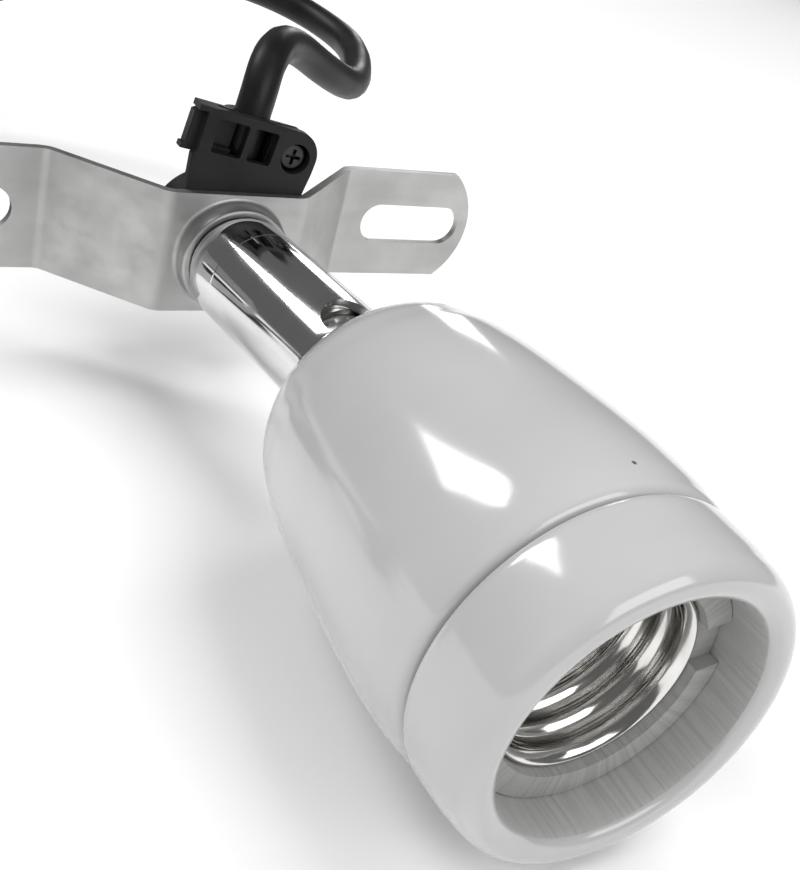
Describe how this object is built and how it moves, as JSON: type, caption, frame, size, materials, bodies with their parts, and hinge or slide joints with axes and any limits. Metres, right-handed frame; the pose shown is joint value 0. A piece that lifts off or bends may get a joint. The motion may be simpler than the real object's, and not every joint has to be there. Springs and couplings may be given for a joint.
{
  "type": "heat lamp fixture",
  "caption": "Porcelain screw-base heat lamp holder on a swivelling chromed arm, with a slotted strip bracket, cord grip, cord and plug.",
  "frame": {"origin": "middle of the two bracket slots, on the plane of the feet's rear faces, where the fixture meets a wall or beam", "axes": "+X along the strip bracket, -Y out of the wall towards the lamp, +Z across the strip, towards the side the cord leaves on"},
  "size_m": [0.1971, 0.2466, 0.0595],
  "materials": {
    "bracket_steel": "satin",
    "grip_plastic": "matte",
    "zinc_steel": "satin",
    "spring_steel": "satin",
    "chrome_plate": "polished",
    "glazed_porcelain": "gloss",
    "bare_porcelain": "matte",
    "nickel_shell": "polished",
    "plated_brass": "polished",
    "brass_terminal": "satin",
    "lead_insulation": "matte",
    "cord_rubber": "satin",
    "tie_plastic": "matte",
    "plug_rubber": "matte"
  },
  "bodies": {
    "bracket": {"mounting_bracket": "bracket_steel", "cord_grip_body": "grip_plastic", "cord_grip_cover": "grip_plastic", "cord_grip_screw": "zinc_steel", "cord_clamp_shell": "grip_plastic", "upper_nipple": "zinc_steel", "lock_washer": "zinc_steel", "lock_nut": "zinc_steel", "spring_washer": "spring_steel", "upper_nut": "zinc_steel", "supply_leads": "lead_insulation", "supply_cord": "cord_rubber", "cord_coil": "cord_rubber", "cord_tail": "cord_rubber", "coil_tie": "tie_plastic", "plug_strain_relief": "plug_rubber", "plug_body": "plug_rubber", "plug_pins": "plated_brass", "plug_earth_clips": "plated_brass"},
    "swivel_seat": {"ball_washer": "zinc_steel"},
    "arm": {"dome_cap": "chrome_plate", "swivel_tube": "chrome_plate", "pressure_cup": "zinc_steel", "disc_springs": "spring_steel", "retaining_ring": "spring_steel"},
    "lamp_head": {"ball_stem": "zinc_steel", "stem_collar": "zinc_steel", "ceramic_dome": "glazed_porcelain", "ceramic_ring": "glazed_porcelain", "socket_core": "bare_porcelain", "screw_shell": "nickel_shell", "contact_spring": "spring_steel", "core_screws": "zinc_steel", "live_terminal": "brass_terminal", "neutral_terminal": "brass_terminal", "terminal_screws": "zinc_steel", "crown_washer": "zinc_steel", "earth_tag": "brass_terminal", "crown_nut": "zinc_steel", "lamp_leads": "lead_insulation"},
    "contact": {"centre_contact": "plated_brass"}
  },
  "joints": [
    {"name": "arm_turn", "type": "hinge", "parent": "bracket", "child": "swivel_seat", "pos_m": [0, -0.025, 0], "axis": [0, -1, 0], "range_deg": [-175, 175]},
    {"name": "arm_lean", "type": "hinge", "parent": "swivel_seat", "child": "arm", "pos_m": [0, -0.025, 0], "axis": [0, 0, 1], "range_deg": [-20, 4.5]},
    {"name": "head_tilt", "type": "hinge", "parent": "arm", "child": "lamp_head", "pos_m": [0.00424, -0.05604, 0], "axis": [-0.9812, -0.1341, -0.1392], "range_deg": [-7, 90]},
    {"name": "contact_press", "type": "slide", "parent": "lamp_head", "child": "contact", "axis": [0, 1, 0], "range_m": [0, 0.0015], "stiffness_N_per_m": 800, "springref_m": -0.0015}
  ]
}
